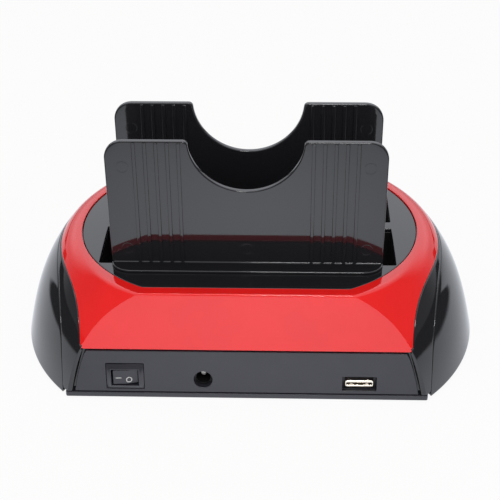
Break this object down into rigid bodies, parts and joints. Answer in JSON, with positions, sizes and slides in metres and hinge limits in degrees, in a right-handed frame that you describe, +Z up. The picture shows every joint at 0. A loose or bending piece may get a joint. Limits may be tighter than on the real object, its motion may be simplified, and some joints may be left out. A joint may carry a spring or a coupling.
{
  "type": "hard drive docking station",
  "caption": "Desktop dock that stands bare hard drives upright in open bays, with a ring-shaped cover, bulging ends, guide plates, a rocker switch, a power inlet and a data port.",
  "frame": {"origin": "on the surface it stands on, under the middle of the body", "axes": "+X along the width, the port side faces -Y, +Z up"},
  "size_m": [0.2078, 0.124, 0.1108],
  "materials": {
    "black_plastic_gloss": "moulded, mirror gloss",
    "black_plastic_satin": "moulded, satin",
    "black_plastic_matt": "moulded, matt",
    "red_plastic_gloss": "moulded, mirror gloss",
    "plated_contact": "nickel plated",
    "plated_shell": "nickel plated, warm",
    "gold_contact": "gold plated",
    "pale_plastic": "moulded, off-white",
    "clear_plastic": "light pipe, clear blue",
    "green_board": "solder mask",
    "capacitor_sleeve": "printed sleeve, blue",
    "screw_steel": "zinc plated",
    "foot_rubber": "moulded rubber"
  },
  "bodies": {
    "dock": {"base_tray": "black_plastic_satin", "body_shell": "black_plastic_gloss", "top_cover": "red_plastic_gloss", "deck_plate": "black_plastic_gloss", "left_side_cover": "black_plastic_gloss", "right_side_cover": "black_plastic_gloss", "near_bay_liner": "black_plastic_matt", "far_bay_liner": "black_plastic_matt", "port_panel": "black_plastic_satin", "control_panel": "black_plastic_satin", "switch_housing": "black_plastic_matt", "switch_terminals": "plated_contact", "power_inlet_housing": "black_plastic_matt", "power_inlet_pin": "plated_contact", "power_inlet_contact": "plated_contact", "data_port_shell": "plated_shell", "data_port_tongue": "pale_plastic", "data_port_contacts": "gold_contact", "button_switch": "black_plastic_matt", "indicator_lights": "clear_plastic", "main_board": "green_board", "near_sata_connector": "black_plastic_matt", "far_sata_connector": "black_plastic_matt", "near_ide_connector": "black_plastic_matt", "far_ide_connector": "black_plastic_matt", "near_ide_power_socket": "pale_plastic", "far_ide_power_socket": "pale_plastic", "controller_chips": "black_plastic_matt", "board_capacitors": "capacitor_sleeve", "base_screws": "screw_steel", "board_screws": "screw_steel", "rubber_feet": "foot_rubber"},
    "rocker": {"switch_rocker": "black_plastic_satin"},
    "near_guide": {"near_guide_plate": "black_plastic_gloss"},
    "far_guide": {"far_guide_plate": "black_plastic_gloss"},
    "button": {"backup_button": "black_plastic_satin"}
  },
  "joints": [
    {"name": "power_rocker", "type": "hinge", "parent": "dock", "child": "rocker", "pos_m": [-0.05222, -0.05844, 0.01075], "axis": [0, 0.1091, 0.994], "range_deg": [-16, 0]},
    {"name": "near_guide_lift", "type": "slide", "parent": "dock", "child": "near_guide", "axis": [0, 0, 1], "range_m": [0, 0.04]},
    {"name": "far_guide_lift", "type": "slide", "parent": "dock", "child": "far_guide", "axis": [0, 0, 1], "range_m": [0, 0.04]},
    {"name": "backup_press", "type": "slide", "parent": "dock", "child": "button", "axis": [0, -0.994, -0.1091], "range_m": [0, 0.0006], "stiffness_N_per_m": 200}
  ]
}
